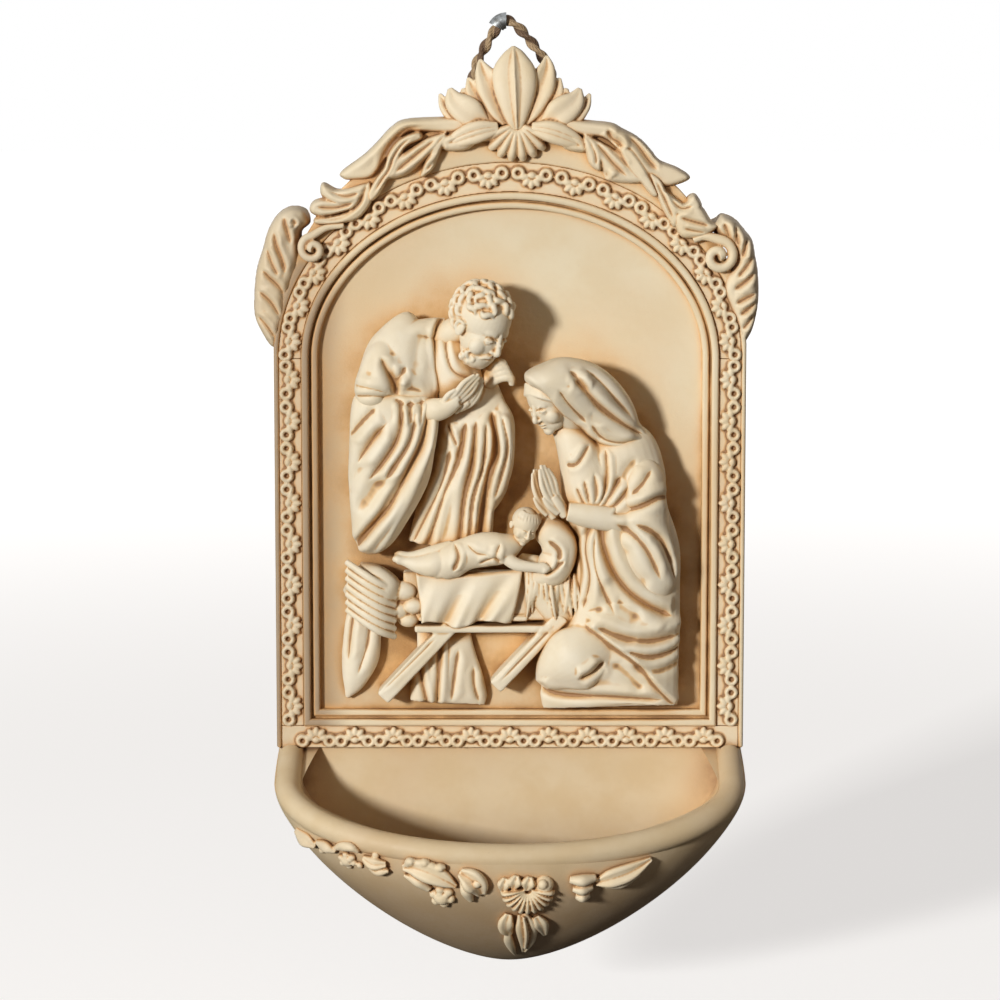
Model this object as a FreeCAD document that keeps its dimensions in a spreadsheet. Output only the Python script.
import FreeCAD, Part
import math
import os

# Holy water stoup for a wall: an arched plaque with a nativity group in relief, a floret
# border and a crest of leaves, over a half-round water bowl, hung by a cord loop.
#
# Millimetres. The flat back lies in the plane y = 0 and the wall is behind it, so the front
# looks towards -Y. +Z is up. "Relief" is always the distance in front of the back face.

V = FreeCAD.Vector
doc = FreeCAD.newDocument("holy_water_stoup")

# Driving dimensions: alias, value, what it measures.
DIMENSIONS = (
    ("plaque_half_width", 61.7, "half the width of the plaque"),
    ("plaque_foot", 65.9, "plaque's lower edge below the origin"),
    ("plaque_spring", 38.3, "centre of the plaque's round top above the origin"),
    ("plaque_relief", 11.0, "face of the outer margin"),
    ("panel_relief", 8.0, "face of the recessed panel"),
    ("niche_half_width", 50.2, "half the width of the recess"),
    ("niche_foot", 55.7, "sill of the recess below the origin"),
    ("niche_spring", 37.5, "where the arch of the recess starts"),
    ("niche_rise", 39.1, "rise of the arch of the recess"),
    ("inner_bead_width", 1.9, "width of the inner bead"),
    ("inner_bead_relief", 10.2, "face of the inner bead"),
    ("groove_width", 0.5, "groove between the two beads"),
    ("groove_relief", 9.3, "floor of that groove"),
    ("outer_bead_width", 1.9, "width of the outer bead"),
    ("outer_bead_relief", 11.6, "face of the outer bead"),
    ("bead_rounding", 0.75, "radius along both edges of a bead"),
    ("strip_width", 5.9, "width of the floret strips"),
    ("strip_relief", 10.4, "face of the floret strips"),
    ("strip_crown_extra", 1.8, "how much wider the strip is at the crown of the arch"),
    ("floret_relief", 11.9, "face of the florets"),
    ("floret_pitch", 10.25, "distance from floret to floret"),
    ("floret_ring_radius", 1.6, "outside radius of a floret's rings"),
    ("floret_eye_radius", 0.6, "hole in a floret's ring"),
    ("floret_lobe_radius", 0.8, "radius of a floret's lobes"),
    ("crest_axis", 1.2, "the crest's middle to the right of the plaque's"),
    ("lug_half_width", 6.0, "half the width of the hanging lug"),
    ("lug_top", 111.0, "top of the lug"),
    ("lug_relief", 7.8, "front of the lug"),
    ("lug_bore_radius", 1.75, "bore for the cord"),
    ("loop_pivot_height", 107.0, "axis of that bore above the origin"),
    ("loop_pivot_relief", 4.0, "axis of that bore in front of the back"),
    ("cord_radius", 1.5, "radius of the hanging cord"),
    ("ferrule_radius", 2.1, "outside radius of the grey sleeve on the cord"),
    ("bowl_half_width", 61.3, "half the width of the bowl"),
    ("bowl_reach", 56.6, "bowl's front in front of the back"),
    ("bowl_side_run", 23.6, "straight part of the bowl's sides"),
    ("bowl_shoulder", 74.8, "where the sides start to draw in"),
    ("bowl_lip", 84.0, "where the front starts to draw in"),
    ("bowl_foot", 124.8, "lowest point of the bowl below the origin"),
    ("bowl_wall", 6.2, "wall thickness of the bowl"),
    ("bowl_back_wall", 7.6, "thickness of the bowl's back"),
    ("rim_radius", 3.3, "radius of the rounded rim"),
    ("rim_back_drop", 67.9, "rim's centreline below the origin at the plaque"),
    ("rim_front_drop", 84.9, "rim's centreline below the origin at the front"),
    ("manger_relief", 16.5, "face of the manger's timbers"),
    ("trough_left", 40.0, "left end of the manger's trough from the middle"),
    ("trough_right", 10.0, "right end of the trough from the middle"),
    ("trough_foot", 31.0, "underside of the trough below the origin"),
    ("trough_height", 14.0, "height of the trough"),
    ("manger_rail_left", 25.0, "left end of the manger's front rail"),
    ("manger_rail_length", 36.0, "length of the front rail"),
    ("manger_rail_height", 2.2, "height of the front rail"),
    ("manger_rail_proud", 0.6, "how far the front rail stands out of the timbers"),
    ("manger_leg_width", 4.0, "width of the manger's legs"),
    ("manger_leg_length", 26.0, "length of the manger's legs"),
    ("cloth_relief", 19.2, "face of the manger's cloth"),
)


def make_sheet():
    """Fills the spreadsheet of driving dimensions."""
    sheet = doc.addObject("Spreadsheet::Sheet", "dims")
    for row, (alias, value, meaning) in enumerate(DIMENSIONS, 1):
        sheet.set("A%d" % row, alias)
        sheet.set("B%d" % row, str(value))
        sheet.setAlias("B%d" % row, alias)
        sheet.set("C%d" % row, meaning)
    doc.recompute()
    return sheet


sheet = make_sheet()
PIECES = {}


def dim(alias):
    """A driving dimension's value."""
    return float(sheet.get(alias))


def bind(thing, **expressions):
    """Binds properties to the sheet. A double underscore in a name stands for a dot."""
    for name, expression in expressions.items():
        path = name.replace("__", ".")
        thing.setExpression(path, expression)
    return thing


def keep(node, thing):
    """Gives a finished sub-part its own label."""
    thing.Label = node
    PIECES[node] = thing
    return thing


def feature(node, shape):
    """A sub-part whose shape is worked out by Part's own functions."""
    thing = doc.addObject("Part::Feature", node)
    thing.Shape = shape
    thing.Placement = FreeCAD.Placement()
    return keep(node, thing)


def shape_of(node):
    """The finished shape of a sub-part."""
    return PIECES[node].Shape


# ---------------------------------------------------------------- arches of the plaque

def arch(name, half_width, foot, spring, rise, back, front):
    """A round-topped slab. Every argument is an expression; back and front are reliefs."""
    block = doc.addObject("Part::Box", name + "_block")
    bind(block, Length="2 * (%s)" % half_width, Width="(%s) - (%s)" % (front, back),
         Height="(%s) + (%s)" % (foot, spring), Placement__Base__x="-(%s)" % half_width,
         Placement__Base__y="-(%s)" % front, Placement__Base__z="-(%s)" % foot)
    curve = doc.addObject("Part::Ellipse", name + "_curve")
    curve.Placement = FreeCAD.Placement(V(), FreeCAD.Rotation(V(1, 0, 0), 90))
    bind(curve, MajorRadius=half_width, MinorRadius=rise,
         Placement__Base__y="-(%s)" % back, Placement__Base__z=spring)
    top = doc.addObject("Part::Extrusion", name + "_top")
    top.Base = curve
    top.DirMode = "Custom"
    top.Dir = V(0, -1, 0)
    top.Solid = True
    bind(top, LengthFwd="(%s) - (%s)" % (front, back))
    whole = doc.addObject("Part::Fuse", name)
    whole.Base = block
    whole.Tool = top
    whole.Refine = True
    return whole


def cut(name, base, tool):
    """One solid less another."""
    result = doc.addObject("Part::Cut", name)
    result.Base = base
    result.Tool = tool
    return result


# How far each line of the moulding lies outside the recess, from the sheet.
BEAD_A = "dims.inner_bead_width"
GROOVE = BEAD_A + " + dims.groove_width"
BEAD_B = GROOVE + " + dims.outer_bead_width"
STRIP = BEAD_B + " + dims.strip_width"
CROWN = "dims.strip_crown_extra"


def niche_arch(name, offset, back, front, crown="0", foot_extra="0"):
    """An arch that follows the recess at an offset."""
    return arch(name, "dims.niche_half_width + " + offset,
                "dims.niche_foot + " + offset + " + " + foot_extra, "dims.niche_spring",
                "dims.niche_rise + " + offset + " + " + crown, back, front)


def make_plaque():
    """The slab, as thick as the recessed panel, with a raised margin round the strips."""
    slab = arch("plaque_slab", "dims.plaque_half_width", "dims.plaque_foot",
                "dims.plaque_spring", "dims.plaque_half_width", "0", "dims.panel_relief")
    raised = arch("plaque_raised", "dims.plaque_half_width", "dims.plaque_foot",
                  "dims.plaque_spring", "dims.plaque_half_width", "dims.panel_relief",
                  "dims.plaque_relief")
    bed = niche_arch("strip_bed", STRIP, "dims.panel_relief", "dims.plaque_relief + 1",
                     CROWN, "4")
    margin = cut("plaque_margin", raised, bed)
    plaque = doc.addObject("Part::Fuse", "back_plaque")
    plaque.Base = slab
    plaque.Tool = margin
    plaque.Refine = True
    keep("back_plaque", plaque)


def top_edges(shape, relief):
    """Numbers of the edges that lie wholly in the plane of that relief."""
    found = []
    for number, edge in enumerate(shape.Edges, 1):
        box = edge.BoundBox
        if abs(box.YMin + relief) < 0.01 and abs(box.YMax + relief) < 0.01:
            found.append(number)
    return found


def round_bead(name, ring, relief_alias):
    """Rounds both edges of a bead's face."""
    doc.recompute()
    rounded = doc.addObject("Part::Fillet", name)
    rounded.Base = ring
    radius = dim("bead_rounding")
    rounded.Edges = [(n, radius, radius) for n in top_edges(ring.Shape, dim(relief_alias))]
    return rounded


def make_moulding():
    """Two round beads with a groove between them."""
    back = "dims.panel_relief"
    inner = cut("inner_bead", niche_arch("inner_bead_out", BEAD_A, back, "dims.inner_bead_relief"),
                niche_arch("inner_bead_in", "0", back, "dims.inner_bead_relief + 1"))
    groove = cut("groove", niche_arch("groove_out", GROOVE, back, "dims.groove_relief"),
                 niche_arch("groove_in", BEAD_A, back, "dims.groove_relief + 1"))
    outer = cut("outer_bead", niche_arch("outer_bead_out", BEAD_B, back, "dims.outer_bead_relief"),
                niche_arch("outer_bead_in", GROOVE, back, "dims.outer_bead_relief + 1"))
    inner = round_bead("inner_bead_round", inner, "inner_bead_relief")
    outer = round_bead("outer_bead_round", outer, "outer_bead_relief")
    moulding = doc.addObject("Part::MultiFuse", "niche_moulding")
    moulding.Shapes = [inner, groove, outer]
    keep("niche_moulding", moulding)


# ---------------------------------------------------------------- floret border

def post(x, z, radius, back, front):
    """A round post that stands out of the face at (x, z)."""
    return Part.makeCylinder(radius, front - back, V(x, -back, z), V(0, -1, 0))


def floret():
    """A fan of five lobes between two rings. The fan opens towards +Z."""
    back = dim("strip_relief") - 0.3
    front = dim("floret_relief")
    ring_offset = 0.355 * dim("floret_pitch")
    ring_drop = 1.0
    fan_radius = 2.1
    parts = [post(0, -0.6, 1.4, back, front)]
    for angle in (-76, -38, 0, 38, 76):
        turn = math.radians(angle)
        parts.append(post(fan_radius * math.sin(turn), fan_radius * math.cos(turn) - 0.6,
                          dim("floret_lobe_radius"), back, front))
    for side in (-1, 1):
        ring = post(side * ring_offset, -ring_drop, dim("floret_ring_radius"), back, front)
        eye = post(side * ring_offset, -ring_drop, dim("floret_eye_radius"), back + 0.3, front + 1)
        parts.append(ring.cut(eye))
    return parts[0].multiFuse(parts[1:])


def place_floret(model, x, z, angle):
    """A floret at (x, z), turned by angle degrees from upright towards +X."""
    copy = model.copy()
    copy.rotate(V(), V(0, 1, 0), angle)
    copy.translate(V(x, 0, z))
    return copy


def strip_with(node, base, florets):
    """A strip with its florets fused on."""
    feature(node, base.multiFuse(florets).removeSplitter())


def strip_block(x_low, x_high, z_low, z_high):
    """A straight strip between these edges."""
    back = dim("panel_relief")
    front = dim("strip_relief")
    return Part.makeBox(x_high - x_low, front - back, z_high - z_low, V(x_low, -front, z_low))


def elliptic_face(half_width, rise, relief):
    """The upper half of an ellipse about the springing of the recess."""
    spring = dim("niche_spring")
    curve = Part.Ellipse(V(half_width, -relief, spring), V(0, -relief, spring + rise),
                         V(0, -relief, spring))
    start = V(half_width, -relief, spring)
    end = V(-half_width, -relief, spring)
    arc = Part.Arc(curve, 0, math.pi).toShape()
    if abs(arc.valueAt(arc.FirstParameter).z - spring) > 0.01 or arc.BoundBox.ZMax < spring + 1:
        arc = Part.Arc(curve, math.pi, 2 * math.pi).toShape()
    return Part.Face(Part.Wire([arc, Part.makeLine(end, start)]))


def make_border():
    """Four strips: the arch, the two sides and the bottom."""
    inner = dim("inner_bead_width") + dim("groove_width") + dim("outer_bead_width")
    outer = inner + dim("strip_width")
    half = dim("niche_half_width")
    foot = dim("niche_foot")
    spring = dim("niche_spring")
    rise = dim("niche_rise")
    pitch = dim("floret_pitch")
    model = floret()
    middle = half + (inner + outer) / 2

    bottom = strip_block(-half - outer, half + outer, -foot - outer, -foot - inner)
    count = 11
    spots = [(k - (count - 1) / 2) * pitch for k in range(count)]
    level = -foot - (inner + outer) / 2
    strip_with("border_bottom", bottom, [place_floret(model, x, level, 0) for x in spots])

    count = int((spring + foot) / pitch)
    heights = [spring - (k + 0.5) * (spring + foot + inner) / count for k in range(count)]
    left = strip_block(-half - outer, -half - inner, -foot - inner, spring)
    right = strip_block(half + inner, half + outer, -foot - inner, spring)
    strip_with("border_left", left, [place_floret(model, -middle, z, 90) for z in heights])
    strip_with("border_right", right, [place_floret(model, middle, z, -90) for z in heights])

    crown = dim("strip_crown_extra")
    relief = dim("panel_relief")
    ring = elliptic_face(half + outer, rise + outer + crown, relief)
    ring = ring.cut(elliptic_face(half + inner, rise + inner, relief))
    ring = ring.extrude(V(0, relief - dim("strip_relief"), 0))
    arch_rise = rise + (inner + outer + crown) / 2
    count = 16
    florets = []
    for k in range(count):
        turn = math.pi * (k + 0.5) / count
        x = middle * math.cos(turn)
        z = spring + arch_rise * math.sin(turn)
        slope = math.degrees(math.atan2(x / middle ** 2, (z - spring) / arch_rise ** 2))
        florets.append(place_floret(model, x, z, slope + 180))
    above = Part.makeBox(200, 40, 100, V(-100, -40, spring))
    feature("border_arch", ring.multiFuse(florets).common(above).removeSplitter())


# ---------------------------------------------------------------- modelled forms

RING_POINTS = 10


def section_wire(centre, across, half_width, half_depth):
    """A closed smooth oval about centre, half_width across and half_depth towards the wall."""
    points = []
    for k in range(RING_POINTS):
        turn = 2 * math.pi * k / RING_POINTS
        points.append(centre + across * (half_width * math.cos(turn))
                      + V(0, half_depth * math.sin(turn), 0))
    curve = Part.BSplineCurve()
    curve.interpolate(points, PeriodicFlag=True)
    return Part.Wire([curve.toShape()])


def form(*sections):
    """A smooth body through ovals, each (x, relief, z, half_width, half_depth)."""
    wires = []
    last = len(sections) - 1
    for k, (x, relief, z, half_width, half_depth) in enumerate(sections):
        before = sections[max(k - 1, 0)]
        after = sections[min(k + 1, last)]
        along = V(after[0] - before[0], 0, after[2] - before[2])
        along.normalize()
        across = V(-along.z, 0, along.x)
        wires.append(section_wire(V(x, -relief, z), across, half_width, half_depth))
    return Part.makeLoft(wires, True)


def mirrored(sections, axis):
    """The same sections on the other side of x = axis."""
    return [(2 * axis - x, relief, z, a, b) for x, relief, z, a, b in sections]


def joined(shapes):
    """Several bodies as one."""
    if len(shapes) == 1:
        return shapes[0]
    return shapes[0].multiFuse(shapes[1:])


def main_solids(shape, share=0.02):
    """The shape without crumbs smaller than that share of it."""
    solids = [s for s in shape.Solids if s.Volume > share * shape.Volume]
    if len(solids) == 1:
        return solids[0]
    return Part.makeCompound(solids)


def fitted(node, shape, neighbours):
    """Cuts a piece to sit against its neighbours, and keeps it."""
    for other in neighbours:
        solid = shape_of(other)
        if shape.BoundBox.intersect(solid.BoundBox):
            shape = shape.cut(solid)
    return feature(node, main_solids(shape))


def in_front_of_panel(shape):
    """The part of a shape in front of the recessed panel."""
    relief = dim("panel_relief")
    box = Part.makeBox(200, 60, 300, V(-100, -60 - relief, -150))
    return shape.common(box)


# ---------------------------------------------------------------- crest

def make_crest():
    """Palmette with its lug, a bud and leaf each side, and the ribbed shell below."""
    petals = [
        form((1.8, 13, 97, 1.5, 1.5), (1.6, 13, 100, 3.2, 2.5), (1.3, 12.5, 107, 5, 3),
             (1.0, 11.5, 112.5, 5.2, 2.8), (0.9, 10.5, 116.5, 2.8, 2), (0.8, 10, 118.6, 0.5, 0.6)),
        form((-1, 12.5, 98.5, 1.2, 1.2), (-2.6, 12, 102, 3, 2.3), (-5, 11, 108, 3.6, 2.5),
             (-6.9, 10, 112, 2.2, 1.8), (-7.8, 9.5, 115, 0.5, 0.5)),
        form((3.5, 12.5, 98.5, 1.2, 1.2), (5, 12, 102, 3, 2.3), (7.8, 11, 108, 3.7, 2.5),
             (9.3, 10, 112.5, 2.3, 1.8), (9.4, 9.5, 116, 0.5, 0.5)),
        form((-3, 12, 98, 1.2, 1.2), (-5.5, 11.5, 101.5, 3.2, 2.2), (-9, 10.5, 106.5, 3, 2),
             (-10.9, 9.8, 110.3, 0.5, 0.5)),
        form((5.5, 12, 98, 1.2, 1.2), (8, 11.5, 101.5, 3.2, 2.2), (11.3, 10.5, 106.5, 3, 2),
             (12.9, 9.8, 110.2, 0.5, 0.5)),
    ]
    palmette = joined(petals)
    half = dim("lug_half_width")
    slab_top = dim("plaque_spring") + dim("plaque_half_width")
    height = dim("lug_top") - slab_top
    lug = Part.makeBox(2 * half, dim("lug_relief") + 2, height,
                       V(-half, -dim("lug_relief") - 2, slab_top))
    behind = Part.makeBox(60, dim("lug_relief"), 60, V(-30, -dim("lug_relief"), 80))
    palmette = palmette.cut(behind).fuse(lug)
    off_the_wall = Part.makeBox(60, 3, 60, V(-30, -0.5, 80))
    palmette = palmette.cut(off_the_wall)
    bore_start = V(-half - 5, -dim("loop_pivot_relief"), dim("loop_pivot_height"))
    bore = Part.makeCylinder(dim("lug_bore_radius"), 2 * half + 10, bore_start, V(1, 0, 0))
    fitted("crest_palmette", palmette.cut(bore), ["back_plaque"])

    bud = ((-6, 12, 98.5, 1.5, 1.5), (-10, 12.5, 101, 4, 2.8), (-14, 12, 103.8, 4.2, 2.6),
           (-17, 11, 106.5, 2, 1.6), (-18, 10.5, 107.6, 0.5, 0.5))
    leaf = ((-3, 13.5, 97.5, 1.5, 1.5), (-8, 14, 96.5, 3, 2.2), (-13, 13.5, 94.8, 2.6, 2),
            (-18, 12.5, 92.3, 0.5, 0.5))
    axis = dim("crest_axis")
    make_gadroon()
    held = ["back_plaque", "crest_palmette", "crest_gadroon"]
    fitted("crest_bud_left", joined([form(*bud), form(*leaf)]), held)
    fitted("crest_bud_right", joined([form(*mirrored(bud, axis)), form(*mirrored(leaf, axis))]),
           held)


def make_gadroon():
    """Eight ribs that fan downwards from the foot of the palmette."""
    centre_x = 1.8
    centre_z = 98.6
    length = 9.8
    ribs = []
    for k in range(8):
        turn = math.radians(-66 + 132 * k / 7)
        across = math.sin(turn)
        down = -math.cos(turn)
        ribs.append(form(*[(centre_x + r * across, relief, centre_z + r * down, a, b)
                           for r, relief, a, b in ((0.5, 12.5, 0.8, 1), (3, 12.8, 1.1, 2),
                                                   (length - 2, 12.4, 1.6, 2.1),
                                                   (length, 11.8, 0.6, 0.9))]))
    fitted("crest_gadroon", joined(ribs), ["back_plaque", "crest_palmette"])


# ---------------------------------------------------------------- leaves, scrolls and wings

GARLAND = (
    ((-9, 13, 98.4, 1.4, 1.5), (-18, 13, 98.2, 2.1, 2.4), (-26.4, 12.6, 96.4, 3.3, 2.7),
     (-33.2, 12.1, 90.8, 3.1, 2.6), (-38.6, 11.6, 87, 2.3, 2), (-43.2, 11, 85.3, 0.5, 0.5)),
    ((-14, 13, 95, 1.2, 1.2), (-19, 13.5, 92.5, 3.4, 2.3), (-24, 13.5, 89, 3.4, 2.3),
     (-28, 12.5, 85, 0.5, 0.5)),
    ((-24, 12.4, 94.5, 1.1, 1.4), (-31, 12.6, 89.3, 1.4, 1.8), (-35.6, 12.6, 83.5, 1.3, 1.8),
     (-37.6, 12.4, 78.4, 0.9, 1.2)),
)
GARLAND_LEAF_RIGHT = (
    (11.4, 13, 98.2, 1.4, 1.5), (19.4, 13, 97.4, 2.1, 2.4), (27, 12.6, 94.6, 3.1, 2.7),
    (33.4, 12.1, 90, 3.0, 2.6), (39.6, 11.6, 86.2, 2.7, 2), (46, 11, 84.1, 0.5, 0.5),
)
SPRAY_LEFT = (
    ((-37.6, 13, 79, 1.2, 1.2), (-42, 13, 79, 3.0, 2.2), (-46.6, 12, 80.3, 2.0, 1.8),
     (-48.2, 11, 82.8, 0.5, 0.5)),
    ((-39, 13, 76, 1.6, 1.4), (-44, 13, 75.4, 2.4, 2), (-48.3, 12, 76.6, 1.8, 1.6),
     (-51.2, 11, 78, 0.5, 0.5)),
)
SPRAY_RIGHT = (
    ((39, 13, 80, 1.2, 1.2), (43, 13, 77.6, 2.8, 2.2), (46, 12.4, 77.4, 1.9, 1.8),
     (47.2, 11.6, 79.9, 0.5, 0.6)),
    ((41.5, 13, 75.8, 1.4, 1.4), (46.3, 13, 73, 2.9, 2), (50.2, 12.2, 71.9, 2.2, 1.6),
     (53.6, 11.2, 72, 0.5, 0.5)),
)
WING_LEFT = (
    (-55.4, 9.5, 76.3, 0.8, 1), (-56.2, 9.5, 74.6, 3.6, 3.2), (-57.8, 9, 70.8, 5.2, 4.2),
    (-58.9, 8.8, 66, 5.4, 4.8), (-60.3, 8.5, 60.6, 5.5, 5), (-61.4, 8, 54.6, 5.3, 4.9),
    (-61.9, 7.6, 49.6, 4.7, 4.4), (-62.1, 7.2, 45.6, 3.4, 3.4), (-62, 7, 42.4, 1.7, 2),
    (-61.8, 7, 40.7, 0.5, 0.6),
)
WING_RIGHT = (
    (54.6, 9.5, 74.2, 0.8, 1), (56.4, 9.5, 72.2, 3.0, 3.2), (58, 9, 68.4, 4.3, 4.2),
    (59, 8.8, 64, 4.9, 4.8), (59.2, 8.5, 59, 5.2, 5), (59.5, 8, 52.6, 5.1, 4.9),
    (60.2, 7.6, 48.4, 3.8, 4.4), (60.8, 7.2, 44.6, 2.3, 3), (60.9, 7, 41.6, 1.2, 1.8),
    (60.7, 7, 39.9, 0.5, 0.6),
)


def volute(centre_x, centre_z, side, size):
    """A scroll that winds inwards; side is -1 on the left and 1 on the right."""
    sections = []
    turns = 1.3
    steps = 16
    for k in range(steps + 1):
        share = k / steps
        turn = 2 * math.pi * turns * share
        radius = size * (1.55 - 1.2 * share)
        x = centre_x - side * radius * math.cos(turn)
        z = centre_z + radius * math.sin(turn)
        thick = 0.34 * size * (1 - 0.45 * share)
        if k in (0, steps):
            thick = thick * 0.5
        sections.append((x, 12.3, z, thick, 1.5 * thick))
    return form(*sections)


def make_arch_ornament():
    """Garlands, sprays, scrolls and wings on both sides."""
    axis = dim("crest_axis")
    carriers = ["back_plaque", "border_arch", "crest_palmette", "crest_gadroon",
                "crest_bud_left", "crest_bud_right"]
    fitted("garland_left", joined([form(*s) for s in GARLAND]), carriers)
    right = [form(*GARLAND_LEAF_RIGHT)] + [form(*mirrored(s, axis)) for s in GARLAND[1:]]
    fitted("garland_right", joined(right), carriers)
    carriers += ["garland_left", "garland_right"]
    fitted("spray_left", joined([form(*s) for s in SPRAY_LEFT]), carriers)
    fitted("spray_right", joined([form(*s) for s in SPRAY_RIGHT]), carriers)
    carriers += ["spray_left", "spray_right"]
    fitted("volute_left", volute(-51.4, 66.2, -1, 3.3), carriers)
    fitted("volute_right", volute(53.7, 64.5, 1, 3.9), carriers)
    carriers += ["volute_left", "volute_right", "border_left", "border_right"]
    fitted("wing_left", form(*WING_LEFT), carriers)
    fitted("wing_right", form(*WING_RIGHT), carriers)


# ---------------------------------------------------------------- nativity group

STANDING = {
    "torso": ((-19, 14, 49, 2, 1.5), (-22, 15, 47.4, 6, 4), (-25.5, 15.5, 42, 10.5, 6.2),
              (-26.5, 15.5, 32, 12.2, 6.8), (-27, 14, 22, 11, 6), (-28, 12, 8, 8, 5),
              (-28, 12, 6, 2, 2)),
    "chest": ((-18, 14, 45, 4, 3), (-15.5, 15.5, 39, 6.4, 5), (-13.4, 15, 31, 6.8, 5),
              (-12.4, 14, 26, 5, 4)),
    "upper_arm": ((-31, 17, 46, 2, 2), (-33.5, 18, 42, 4.5, 4), (-36, 19, 34, 4.2, 4.2),
                  (-36, 19.5, 28, 3.6, 3.6), (-34, 19.5, 25, 2, 2)),
    "forearm": ((-37, 19, 28, 1.6, 1.6), (-34, 19.5, 27, 3.6, 3.6), (-26, 20.5, 25.4, 3.8, 3.6),
                (-19.5, 21.5, 25.8, 3.2, 3), (-18, 21.8, 26.2, 2, 2)),
    "near_hand": ((-19, 21.5, 26, 1.6, 1.6), (-14.5, 22, 28, 2.3, 2), (-10.8, 22, 30.8, 2, 1.6),
                  (-7.2, 22, 33.6, 0.5, 0.6)),
    "far_hand": ((-9, 15, 26.5, 1.6, 1.6), (-5.4, 16, 29.5, 2.4, 2), (-2.8, 16.2, 33.6, 2.2, 1.8),
                 (-1.8, 16, 36.4, 0.6, 0.6)),
    "mantle": ((-28, 17, 30, 7, 3), (-29.5, 18, 24, 11, 5), (-31, 17.5, 13.7, 10, 5.8),
               (-34, 16, 1.4, 7.6, 5), (-36, 14, -8.6, 4.4, 3.6), (-36.4, 13.5, -11.5, 2, 1.5)),
    "robe": ((-9, 12, 28, 7, 2), (-8, 13, 23, 11, 4.4), (-10, 13, 10, 10.6, 5),
             (-13.4, 12.5, 0, 10.8, 5), (-16.5, 12, -9, 11.5, 4), (-16.5, 11.5, -12, 10, 3)),
    "neck": ((-21, 15.5, 42, 3.5, 3.5), (-16.5, 17.5, 45, 5, 5), (-11, 19.5, 47.6, 4.6, 4.6)),
    "head": ((-5.8, 21, 59.4, 0.8, 0.8), (-6.0, 21, 58.2, 4.4, 4.4), (-6.6, 21, 54.5, 7, 7),
             (-7.4, 21, 49.5, 7.2, 7.2), (-8.4, 21.5, 44.4, 6, 6.4), (-9.2, 22, 39.8, 3.7, 4),
             (-9.7, 22, 36.6, 1, 1.2)),
}
STANDING_HEM = {
    "hem_left": ((-38, 9.5, -33, 4.6, 1.5), (-38.6, 10, -36, 5.6, 2.6), (-40.4, 10, -46, 4.2, 2.6),
                 (-42.6, 9.5, -54.8, 1.6, 1.4)),
    "hem_middle": ((-17.5, 9, -34, 8, 1.4), (-17.5, 10, -40, 8.4, 2.6), (-17.5, 10, -52, 8.8, 2.6),
                   (-17.5, 9.5, -55, 8, 2)),
}
KNEELING = {
    "veil": ((5.4, 21, 36.6, 2, 2), (9.5, 21, 33.6, 7, 6.4), (15, 21, 31.6, 8.8, 7.8),
             (21, 20, 28, 8.8, 7.4), (27.6, 18, 22.4, 7.6, 6), (34, 16, 16.4, 5, 4.6),
             (38.6, 15, 11.8, 2, 2)),
    "head": ((10.6, 21.5, 35, 2, 2), (9.8, 22, 32, 5.6, 5.6), (9.6, 22.2, 27, 6, 6),
             (10.6, 22, 22.6, 4, 4.4), (11.6, 21.6, 20.4, 1.4, 1.8)),
    "chest": ((13.4, 17, 23, 3, 3), (17, 17, 16.5, 6, 4.8), (20, 17, 9, 7.6, 6),
              (23, 16.5, 0, 9, 6.4), (24, 15, -8, 6, 4)),
    "body": ((25, 14, 20, 4, 3), (27.4, 15, 15, 10.6, 6), (28.6, 15.5, 8, 12.8, 6.8),
             (29.8, 16, -2, 13.8, 7.2), (30.6, 16, -12, 13.8, 7.4), (30.4, 15.5, -22, 14.6, 7),
             (28.2, 15, -34, 16.4, 6.8), (25.4, 14, -44, 18.8, 6.2), (25, 13, -52, 19.4, 5.2),
             (25, 12.5, -55, 18.4, 4)),
    "near_arm": ((33, 18, 12, 2.5, 2.5), (34.4, 19.5, 6, 5.2, 4.4), (34.6, 20.5, -3, 5.8, 4.8),
                 (32.6, 20, -14, 6.2, 4.6), (30, 18.5, -24, 5, 4), (28.4, 17, -31, 1.6, 1.8)),
    "forearm": ((33, 20, -4, 3, 3), (27, 21, -4.6, 4.2, 3.8), (19, 22, -3.4, 3.8, 3.4),
                (14.6, 22.5, -1.6, 2.6, 2.4)),
    "hands": ((15.4, 22.5, -2.6, 1.6, 1.6), (13, 22.6, 1, 2.5, 2.2), (10.8, 22.6, 6, 2.1, 1.7),
              (8.8, 22.2, 10.8, 0.5, 0.6)),
    "knee": ((28, 15, -40, 5, 4), (20, 16, -41, 7.8, 5.8), (13, 15.5, -44, 6.8, 5.2),
             (8, 14, -48.4, 3.6, 3.6)),
}
CHILD = {
    "head": ((4.5, 19, 0.8, 0.7, 0.7), (4.4, 19, -0.4, 3, 3), (4.1, 19, -3.6, 4.4, 4.4),
             (3.6, 19, -7, 3.4, 3.6), (3.2, 19, -8.8, 1, 1)),
    "body": ((3, 18, -8.6, 1.6, 1.6), (-2, 18, -10.4, 3.8, 3.6), (-9, 17.6, -12, 4.4, 4),
             (-16, 17, -15, 4.2, 3.8), (-22, 17, -15.6, 2.8, 2.6), (-28.4, 16.6, -14.8, 1.2, 1.2)),
    "arm": ((-2.5, 20.5, -10.5, 1.5, 1.4), (3, 21, -14.6, 1.7, 1.5), (9, 21, -17.2, 0.9, 0.9)),
}
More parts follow.
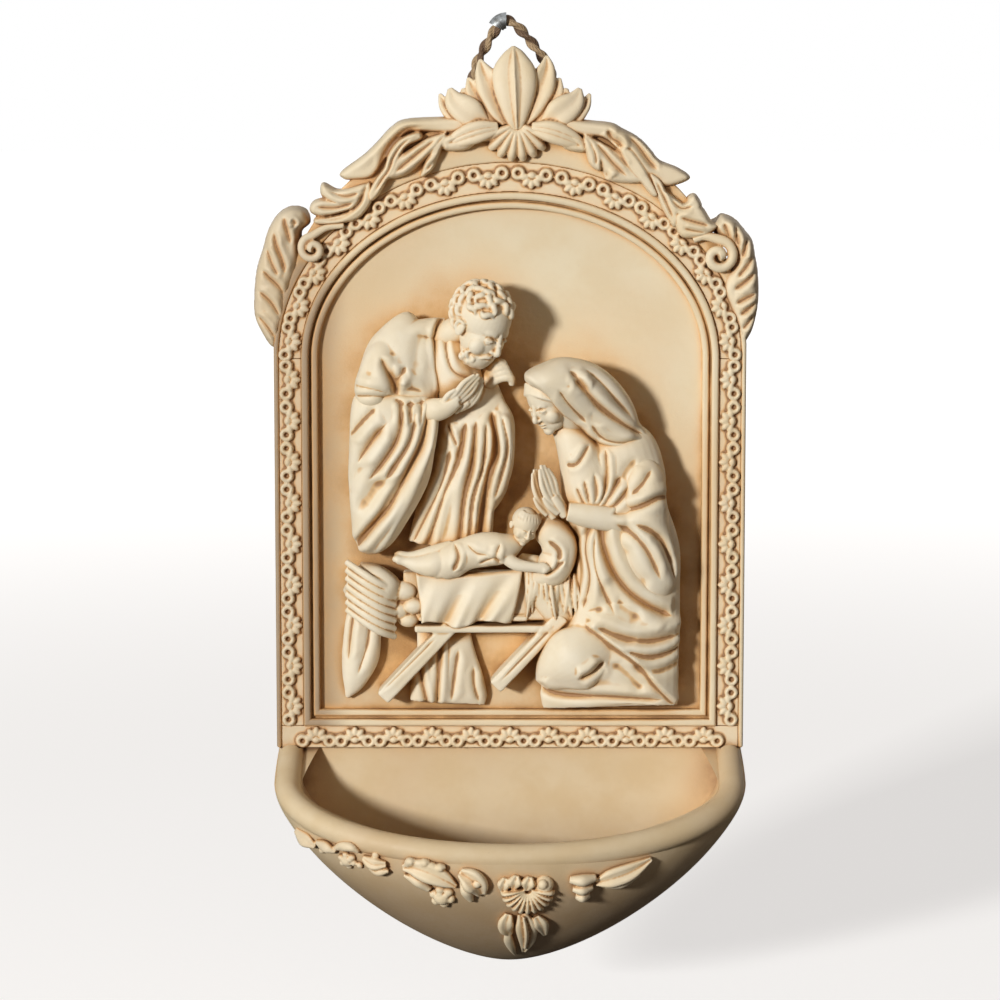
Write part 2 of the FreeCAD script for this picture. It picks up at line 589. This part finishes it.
STRAW = (
    ((2, 14, -15, 2, 2), (7, 15.5, -19, 5, 4), (11.5, 15, -26, 5, 4), (14, 13, -33, 2, 2)),
    ((-42.4, 14, -15.5, 1.5, 1.5), (-37, 15.5, -18, 4, 3.4), (-30, 16, -22, 4.6, 3.6),
     (-25.4, 15.5, -24.6, 2.6, 2.2)),
    ((-42.4, 13, -22, 1.5, 1.5), (-37, 14.5, -25, 4, 3.2), (-31, 15, -29.4, 4.4, 3.4),
     (-27, 14.5, -32.6, 1.8, 1.8)),
)


MANGER_LEG_LEAN = 43


def make_manger():
    """Trough, front rail and two slanting legs that reach back to the panel."""
    trough = doc.addObject("Part::Box", "manger_trough")
    bind(trough, Length="dims.trough_left + dims.trough_right", Height="dims.trough_height",
         Width="dims.manger_relief - dims.panel_relief",
         Placement__Base__x="-dims.trough_left", Placement__Base__y="-dims.manger_relief",
         Placement__Base__z="-dims.trough_foot")
    proud = "dims.manger_relief + dims.manger_rail_proud"
    rail = doc.addObject("Part::Box", "manger_rail")
    bind(rail, Length="dims.manger_rail_length", Height="dims.manger_rail_height",
         Width=proud + " - dims.panel_relief", Placement__Base__x="-dims.manger_rail_left",
         Placement__Base__y="-(%s)" % proud,
         Placement__Base__z="-dims.trough_foot - dims.manger_rail_height")
    timbers = [trough, rail]
    lean = FreeCAD.Rotation(V(0, 1, 0), MANGER_LEG_LEAN)
    foot = lean.multVec(V(0, 0, -dim("manger_leg_length")))
    for name, x, z in (("manger_leg_left", -17.2, -31.2), ("manger_leg_right", 12.4, -28.2)):
        leg = doc.addObject("Part::Box", name)
        leg.Placement = FreeCAD.Placement(V(x, 0, z) + foot, lean)
        bind(leg, Length="dims.manger_leg_width", Height="dims.manger_leg_length",
             Width="dims.manger_relief - dims.panel_relief",
             Placement__Base__y="-dims.manger_relief")
        timbers.append(leg)
    manger = doc.addObject("Part::MultiFuse", "manger")
    manger.Shapes = timbers
    manger.Refine = True
    keep("manger", manger)


def make_cloth():
    """The cloth that hangs over the manger's front, a padded outline with a wavy hem."""
    body = doc.addObject("PartDesign::Body", "manger_cloth_body")
    outline = body.newObject("Sketcher::SketchObject", "cloth_outline")
    plane = [f for f in body.Origin.OriginFeatures if f.Role == "XZ_Plane"][0]
    outline.AttachmentSupport = [(plane, "")]
    outline.MapMode = "FlatFace"
    outline.AttachmentOffset = FreeCAD.Placement(V(0, 0, dim("manger_relief")
                                                   + dim("manger_rail_proud")),
                                                 FreeCAD.Rotation())
    corners = ((-25.4, -18), (-20, -16.4), (-8, -17), (2.6, -16.2), (3.6, -20), (1.4, -32),
               (-6, -33), (-13, -31.6), (-20, -33), (-23.4, -30))
    points = [V(x, z, 0) for x, z in corners]
    for k, point in enumerate(points):
        outline.addGeometry(Part.LineSegment(point, points[(k + 1) % len(points)]))
    pad = body.newObject("PartDesign::Pad", "cloth_pad")
    pad.Profile = outline
    bind(pad, Length="dims.cloth_relief - dims.manger_relief - dims.manger_rail_proud")
    doc.recompute()
    keep("manger_cloth", body)


def group(masses):
    """Figure masses fused, and cut off flat at the panel."""
    return in_front_of_panel(joined([form(*sections) for sections in masses.values()]))


def make_nativity():
    """The figures and the manger, each cut to sit against what it overlaps."""
    make_manger()
    make_cloth()
    doc.recompute()
    placed = ["manger", "manger_cloth"]
    fitted("child_figure", group(CHILD), placed)
    placed.append("child_figure")
    standing = group(STANDING)
    hem = group(STANDING_HEM)
    fitted("kneeling_figure", group(KNEELING), placed)
    placed.append("kneeling_figure")
    fitted("standing_figure", standing, placed)
    fitted("standing_hem", hem, placed)
    placed += ["standing_figure", "standing_hem"]
    straw = in_front_of_panel(joined([form(*s) for s in STRAW]))
    fitted("manger_straw", straw, placed)


# ---------------------------------------------------------------- bowl

SIDE_POWER = 1.355
FRONT_POWER = 1.745


def draw_in(drop, start, end, power):
    """1 above start, falling along a rounded curve to 0 at end. All are depths below z = 0."""
    share = (drop - start) / (end - start)
    if share <= 0:
        return 1.0
    if share >= 1:
        return 0.0
    return (1 - share ** power) ** (1 / power)


def bowl_section(drop, inset, end):
    """Half width, straight run and reach of the bowl at a depth, less the inset."""
    half = (dim("bowl_half_width") - inset) * draw_in(drop, dim("bowl_shoulder"), end, SIDE_POWER)
    reach = (dim("bowl_reach") - inset) * draw_in(drop, dim("bowl_lip"), end, FRONT_POWER)
    return half, reach * dim("bowl_side_run") / dim("bowl_reach"), reach


def bowl_wire(drop, inset, back, end):
    """A D-shaped outline at that depth: flat at the back, straight sides, elliptic front."""
    half, run, reach = bowl_section(drop, inset, end)
    run = max(run, 1.3 * back + 0.2)
    reach = max(reach, run + 0.6)
    half = max(half, 0.8)
    z = -drop
    corners = [V(half, -back, z), V(half, -run, z), V(-half, -run, z), V(-half, -back, z)]
    centre = V(0, -run, z)
    depth = reach - run
    if half >= depth:
        curve = Part.Ellipse(V(half, -run, z), V(0, -reach, z), centre)
    else:
        curve = Part.Ellipse(V(0, -reach, z), V(-half, -run, z), centre)
    front = Part.Arc(curve, curve.parameter(corners[1]), curve.parameter(corners[2])).toShape()
    if front.BoundBox.YMin > -reach + 0.01:
        front = Part.Arc(curve, curve.parameter(corners[2]), curve.parameter(corners[1])).toShape()
    return Part.Wire(Part.__sortEdges__([Part.makeLine(corners[0], corners[1]), front,
                                         Part.makeLine(corners[2], corners[3]),
                                         Part.makeLine(corners[3], corners[0])]))


OUTER_SHARES = (0, 0.17, 0.34, 0.5, 0.64, 0.76, 0.86, 0.93, 0.975, 0.995)
INNER_SHARES = (0, 0.17, 0.34, 0.5, 0.64, 0.76, 0.86, 0.92, 0.95)


def bowl_body(inset, back, top, end, shares):
    """The bowl's outer or inner body as a loft of D-shaped outlines at shares of its depth."""
    shoulder = dim("bowl_shoulder")
    depth = end - shoulder
    drops = [top] + [shoulder + depth * share for share in shares]
    return Part.makeLoft([bowl_wire(drop, inset, back, end) for drop in drops], True)


def rim_bead():
    """The rounded rim: a round bar along the D in a plane that slopes down to the front."""
    radius = dim("rim_radius")
    start = dim("plaque_relief")
    half = dim("bowl_half_width") - radius
    reach = dim("bowl_reach") - radius
    rise = dim("rim_front_drop") - dim("rim_back_drop")
    lean = math.atan2(rise, reach - start)
    stretch = 1 / math.cos(lean)
    run = (dim("bowl_side_run") - start) * stretch
    front = (reach - start) * stretch
    behind = -10
    curve = Part.Ellipse(V(half, -run, 0), V(0, -front, 0), V(0, -run, 0))
    arc = Part.Arc(curve, math.pi, 2 * math.pi).toShape()
    if arc.BoundBox.YMax > -run + 1:
        arc = Part.Arc(curve, 0, math.pi).toShape()
    path = Part.Wire(Part.__sortEdges__([
        Part.makeLine(V(-half, -behind, 0), V(-half, -run, 0)), arc,
        Part.makeLine(V(half, -run, 0), V(half, -behind, 0))]))
    profile = Part.Wire([Part.makeCircle(radius, V(-half, -behind, 0), V(0, 1, 0))])
    bar = path.makePipeShell([profile], True, False)
    bar.rotate(V(), V(1, 0, 0), math.degrees(lean))
    bar.translate(V(0, -start, -dim("rim_back_drop")))
    return bar, lean


def make_bowl():
    """Shell, hollowed, trimmed along the sloping rim, with the rim bead on top."""
    top = 55.0
    outer = bowl_body(0, 0, top, dim("bowl_foot"), OUTER_SHARES)
    floor = dim("bowl_foot") - dim("bowl_wall") - 2
    inner = bowl_body(dim("bowl_wall"), dim("bowl_back_wall"), top - 5, floor, INNER_SHARES)
    bar, lean = rim_bead()
    above = Part.makeBox(200, 140, 60, V(-100, -120, 0))
    above.rotate(V(), V(1, 0, 0), math.degrees(lean))
    above.translate(V(0, -dim("plaque_relief"), -dim("rim_back_drop") + 0.6))
    shell = outer.cut(above).cut(inner).fuse(bar)
    under_plaque = Part.makeBox(200, 40, 60, V(-100, -dim("floret_relief") - 0.2,
                                               -dim("plaque_foot")))
    behind_wall = Part.makeBox(200, 40, 200, V(-100, 0, -150))
    shell = shell.cut(under_plaque).cut(behind_wall)
    feature("bowl_shell", main_solids(shell.removeSplitter()))


SEAT_SINK = 0.005


def on_bowl(x, z):
    """Relief of the bowl's outside at (x, z), by the curves it is lofted through."""
    half, run, reach = bowl_section(-z, 0, dim("bowl_foot"))
    share = max(0.0, 1 - (x / half) ** 2)
    return run + (reach - run) * math.sqrt(share)


def bowl_face(x, z):
    """The point of the made bowl's outside at (x, z)."""
    ray = Part.makeLine(V(x, -90, z), V(x, -dim("bowl_back_wall"), z))
    return V(x, ray.common(shape_of("bowl_shell")).BoundBox.YMin, z)


def seat(x, z):
    """A block behind the plane that touches the bowl's outside at (x, z)."""
    across = bowl_face(x + 0.3, z) - bowl_face(x - 0.3, z)
    up = bowl_face(x, z + 0.3) - bowl_face(x, z - 0.3)
    outward = across.cross(up)
    outward.normalize()
    block = Part.makeBox(40, 40, 20, V(-20, -20, -20))
    block.Placement = FreeCAD.Placement(bowl_face(x, z) - outward * SEAT_SINK,
                                        FreeCAD.Rotation(V(0, 0, 1), outward))
    return block


def on_bowl_form(*sections):
    """A form seated on the bowl: its reliefs are lifts above the bowl's outside."""
    body = form(*[(x, on_bowl(x, z) + lift, z, a, b) for x, lift, z, a, b in sections])
    middle = sections[len(sections) // 2]
    return main_solids(body.cut(seat(middle[0], middle[2])))


def make_bowl_sprigs():
    """Shell fan, pendant, leaves with flowers and the string of buds at the left."""
    ribs = []
    for k in range(9):
        turn = math.radians(-80 + 160 * k / 8)
        x = math.sin(turn)
        z = -math.cos(turn)
        ribs.append(on_bowl_form((4.3 + 0.6 * x, 0.2, -92.4 + 0.6 * z, 0.5, 1),
                                 (4.3 + 3 * x, 0.6, -92.4 + 3 * z, 0.8, 1.6),
                                 (4.3 + 5.4 * x, 0.5, -92.4 + 5.4 * z, 1.0, 1.6),
                                 (4.3 + 6.3 * x, 0.2, -92.4 + 6.3 * z, 0.4, 0.7)))
    crown = on_bowl_form((-2.2, 0.3, -91, 0.8, 1), (0.6, 0.8, -90.6, 1.9, 1.8),
                         (3.6, 0.8, -91, 2, 1.8), (6.2, 0.6, -90.8, 1.8, 1.8),
                         (9, 0.3, -91.4, 0.9, 1))
    fitted("bowl_fan", joined(ribs + [crown]), [])
    drops = [((1.6, -99.8), (1.0, -107)), ((4.4, -99.6), (4.2, -109)), ((7, -99.8), (7.6, -105.6))]
    pendant = [on_bowl_form((x0, 0.3, z0, 0.9, 1), (x0, 1, z0 - 2, 1.9, 2),
                            ((x0 + x1) / 2, 0.9, (z0 + z1) / 2, 1.9, 1.9), (x1, 0.3, z1, 0.5, 0.6))
               for (x0, z0), (x1, z1) in drops]
    fitted("bowl_pendant", joined(pendant), ["bowl_fan"])
    left = [
        on_bowl_form((-27, 0.3, -88.8, 0.6, 0.8), (-23, 1, -89.4, 2.2, 1.8),
                     (-18.6, 1, -91, 1.9, 1.8), (-15, 0.4, -93.6, 0.8, 0.8)),
        on_bowl_form((-19.6, 0.2, -95.6, 0.8, 1), (-17, 1, -95, 2.4, 2.2),
                     (-14.4, 0.2, -95.4, 0.8, 1)),
        on_bowl_form((-12.4, 0.3, -90, 1, 1), (-9.6, 1.2, -91.6, 3, 2.4),
                     (-6.8, 0.6, -94.6, 1.4, 1.4)),
    ]
    beside = ["bowl_fan", "bowl_pendant"]
    fitted("bowl_leaf_left", joined(left), beside)
    right = [
        on_bowl_form((17.4, 0.3, -88.8, 1.4, 1.2), (18.2, 1.2, -91, 2.8, 2.2),
                     (19, 0.6, -94, 1.2, 1.4), (19.2, 0.3, -95.6, 0.4, 0.6)),
        on_bowl_form((20.5, 0.3, -92.4, 0.8, 1), (25.5, 1, -91.4, 2.0, 1.8),
                     (31, 0.8, -89.8, 1.6, 1.6), (35.2, 0.3, -88.6, 0.5, 0.5)),
    ]
    fitted("bowl_leaf_right", joined(right), beside)
    string = []
    for x, z, size in ((-52.4, -84.6, 1.7), (-48.6, -85.4, 1.5), (-44.8, -86.2, 1.6),
                       (-41.2, -87.2, 1.9), (-37.4, -88.0, 1.6), (-33.8, -88.2, 1.6)):
        string.append(on_bowl_form((x - 1.5 * size, 0.1, z + 0.7, 0.5, 0.6),
                                   (x, 0.7, z, size * 0.9, size),
                                   (x + 1.5 * size, 0.1, z - 0.7, 0.5, 0.6)))
    fitted("bowl_string", joined(string), ["bowl_leaf_left"])


# ---------------------------------------------------------------- hanging loop

# The loop's corners (x, z), from the left mouth of the lug over the nail to the right mouth.
LOOP_ROUTE = ((-2.0, 107.0), (-8.2, 107.0), (-10.6, 110.5), (-2.8, 124.9), (1.2, 124.9),
              (11.6, 111.4), (9.6, 107.0), (2.0, 107.0))
RUN_SHARE = 0.45


def loop_path():
    """Straight runs joined by tangent arcs, and the list of the arcs."""
    y = -dim("loop_pivot_relief")
    corners = [V(x, y, z) for x, z in LOOP_ROUTE]
    edges = []
    arcs = []
    here = corners[0]
    for before, corner, after in zip(corners, corners[1:], corners[2:]):
        into = corner - before
        out = after - corner
        shorter = min(into.Length, out.Length)
        turn = into.getAngle(out)
        back_off = RUN_SHARE * shorter
        radius = back_off / math.tan(turn / 2)
        into.normalize()
        out.normalize()
        start = corner - into * back_off
        end = corner + out * back_off
        bisector = out - into
        bisector.normalize()
        centre = corner + bisector * (radius / math.cos(turn / 2))
        middle = centre - bisector * radius
        edges.append(Part.LineSegment(here, start).toShape())
        edges.append(Part.Arc(start, middle, end).toShape())
        arcs.append((centre, start, into, turn))
        here = end
        print("loop radius %.2f mm" % radius)
    edges.append(Part.LineSegment(here, corners[-1]).toShape())
    return Part.Wire(edges), arcs


def make_loop():
    """The cord and the grey sleeve at the left of its top."""
    path, arcs = loop_path()
    radius = dim("cord_radius")
    start = V(LOOP_ROUTE[0][0], -dim("loop_pivot_relief"), LOOP_ROUTE[0][1])
    profile = Part.Wire([Part.makeCircle(radius, start, V(-1, 0, 0))])
    cord = path.makePipeShell([profile], True, False)
    print("loop length %.1f mm, volume %.1f of %.1f"
          % (path.Length, cord.Volume, math.pi * radius ** 2 * path.Length))
    feature("hanging_cord", cord)
    centre, start, into, turn = arcs[2]
    axis = (start - centre).cross(into)
    bars = [Part.Face(Part.Wire([Part.makeCircle(r, start, into)])).revolve(
            centre, axis, math.degrees(turn)) for r in (dim("ferrule_radius"), radius)]
    feature("loop_ferrule", bars[0].cut(bars[1]))


# ---------------------------------------------------------------- build, test and write

def check_document():
    """Stops if any object failed or any sub-part has no valid shape."""
    for thing in doc.Objects:
        if "Invalid" in thing.State or "Error" in thing.State:
            raise RuntimeError("%s failed: %s" % (thing.Label, thing.State))
    for node, thing in PIECES.items():
        shape = thing.Shape
        if shape.isNull() or not shape.isValid() or not shape.Solids:
            raise RuntimeError("%s has no valid solid" % node)


def write_parts():
    """Writes each sub-part to its own file."""
    os.makedirs("parts", exist_ok=True)
    for node, thing in PIECES.items():
        thing.Shape.exportStep("parts/%s.step" % node)
        print("%-18s %2d solid %9.1f mm3" % (node, len(thing.Shape.Solids), thing.Shape.Volume))


make_plaque()
make_moulding()
doc.recompute()
make_border()
make_crest()
make_arch_ornament()
make_nativity()
make_bowl()
make_bowl_sprigs()
make_loop()
doc.recompute()
check_document()
write_parts()
